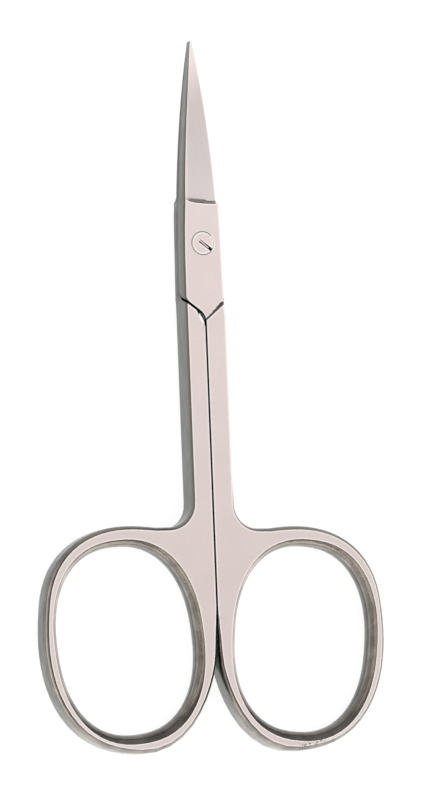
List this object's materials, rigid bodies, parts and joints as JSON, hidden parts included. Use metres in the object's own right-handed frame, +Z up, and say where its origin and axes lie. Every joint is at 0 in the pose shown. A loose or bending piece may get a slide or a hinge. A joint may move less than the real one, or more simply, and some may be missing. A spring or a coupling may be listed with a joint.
{
  "type": "cuticle scissors",
  "caption": "Small all-steel cuticle scissors with narrow straight blades, a lapped box joint, a flush slotted pivot screw and oval finger rings.",
  "frame": {"origin": "the pivot axis where it meets the surface the closed scissors lie on", "axes": "+Y towards the blade tips, +Z up along the pivot axis out of the slotted screw face, +X towards the ring of the front half"},
  "size_m": [0.045, 0.0899, 0.004],
  "materials": {
    "forged_steel": "satin-ground faces, polished sides",
    "screw_steel": "ground flush with the face"
  },
  "bodies": {
    "rear": {"back_half": "forged_steel", "pivot_screw": "screw_steel"},
    "front": {"front_half": "forged_steel"}
  },
  "joints": [
    {"name": "pivot", "type": "hinge", "parent": "rear", "child": "front", "pos_m": [0, 0, 0.002], "axis": [0, 0, 1], "range_deg": [0, 132]}
  ]
}
